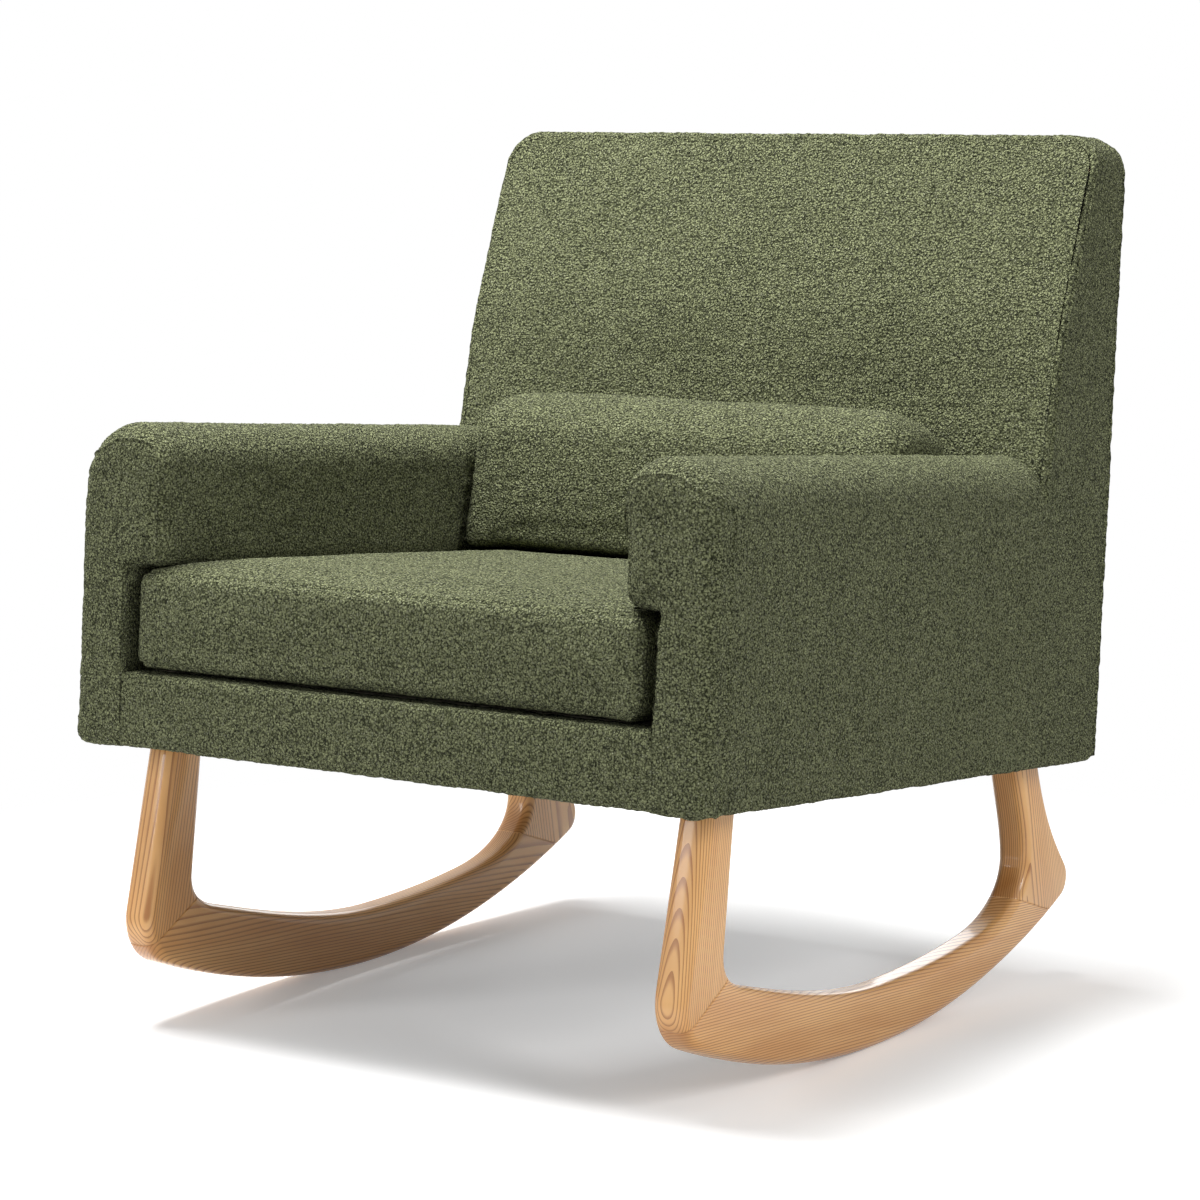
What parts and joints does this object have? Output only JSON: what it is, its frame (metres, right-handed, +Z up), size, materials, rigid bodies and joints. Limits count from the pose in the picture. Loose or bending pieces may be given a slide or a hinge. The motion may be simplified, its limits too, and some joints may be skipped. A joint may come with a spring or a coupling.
{
  "type": "upholstered rocking chair",
  "caption": "Upholstered nursery rocking chair with overhanging padded arms, a loose seat cushion, a lumbar pillow and mitred ash rockers.",
  "frame": {"origin": "on the floor, under the middle of the chair's width and depth", "axes": "+X across the chair to the sitter's left, +Y to the back, +Z up"},
  "size_m": [0.768, 0.8394, 0.9118],
  "materials": {
    "cover_fabric": "matte",
    "foam": "matte",
    "lining": "matte",
    "ash_wood": "satin",
    "frame_wood": "matte",
    "hardboard": "matte",
    "steel": "satin",
    "zip_tape": "matte",
    "zip_metal": "satin"
  },
  "bodies": {
    "chair": {"left_front_leg": "ash_wood", "right_front_leg": "ash_wood", "left_runner": "ash_wood", "right_runner": "ash_wood", "left_rear_leg": "ash_wood", "right_rear_leg": "ash_wood", "mitre_dowels": "frame_wood", "leg_plates": "steel", "plate_bolts": "steel", "t_nuts": "steel", "plate_screws": "steel", "leg_blocks": "frame_wood", "front_rail": "frame_wood", "rear_rail": "frame_wood", "left_side_rail": "frame_wood", "right_side_rail": "frame_wood", "front_spring_rail": "frame_wood", "rear_spring_rail": "frame_wood", "seat_springs": "steel", "spring_clips": "steel", "deck_pad": "foam", "dust_cover": "lining", "front_rail_cover": "cover_fabric", "left_arm_front_board": "frame_wood", "right_arm_front_board": "frame_wood", "left_arm_rear_post": "frame_wood", "right_arm_rear_post": "frame_wood", "left_arm_top_rail": "frame_wood", "right_arm_top_rail": "frame_wood", "left_arm_outer_panel": "hardboard", "right_arm_outer_panel": "hardboard", "left_arm_inner_panel": "hardboard", "right_arm_inner_panel": "hardboard", "left_arm_padding": "foam", "right_arm_padding": "foam", "left_arm_cover": "cover_fabric", "right_arm_cover": "cover_fabric", "left_arm_front_panel": "cover_fabric", "right_arm_front_panel": "cover_fabric", "left_back_stile": "frame_wood", "right_back_stile": "frame_wood", "back_top_rail": "frame_wood", "back_lower_rail": "frame_wood", "back_webbing": "lining", "back_padding": "foam", "back_cover": "cover_fabric", "outside_back_panel": "cover_fabric"},
    "seat_cushion": {"seat_cushion": "cover_fabric", "seat_zip": "zip_tape"},
    "seat_zip_slider": {"seat_zip_slider": "zip_metal"},
    "lumbar_pillow": {"lumbar_pillow": "cover_fabric", "pillow_zip": "zip_tape"},
    "pillow_zip_slider": {"pillow_zip_slider": "zip_metal"}
  },
  "joints": [
    {"name": "seat_cushion_slide", "type": "slide", "parent": "chair", "child": "seat_cushion", "axis": [0, -0.9971, 0.0758], "range_m": [0, 0.6]},
    {"name": "lumbar_pillow_lift", "type": "slide", "parent": "chair", "child": "lumbar_pillow", "axis": [0, 0.2139, 0.9769], "range_m": [0, 0.5]},
    {"name": "seat_zip_slide", "type": "slide", "parent": "seat_cushion", "child": "seat_zip_slider", "axis": [-1, 0, 0], "range_m": [0, 0.5]},
    {"name": "pillow_zip_slide", "type": "slide", "parent": "lumbar_pillow", "child": "pillow_zip_slider", "axis": [-1, 0, 0], "range_m": [0, 0.37]}
  ]
}
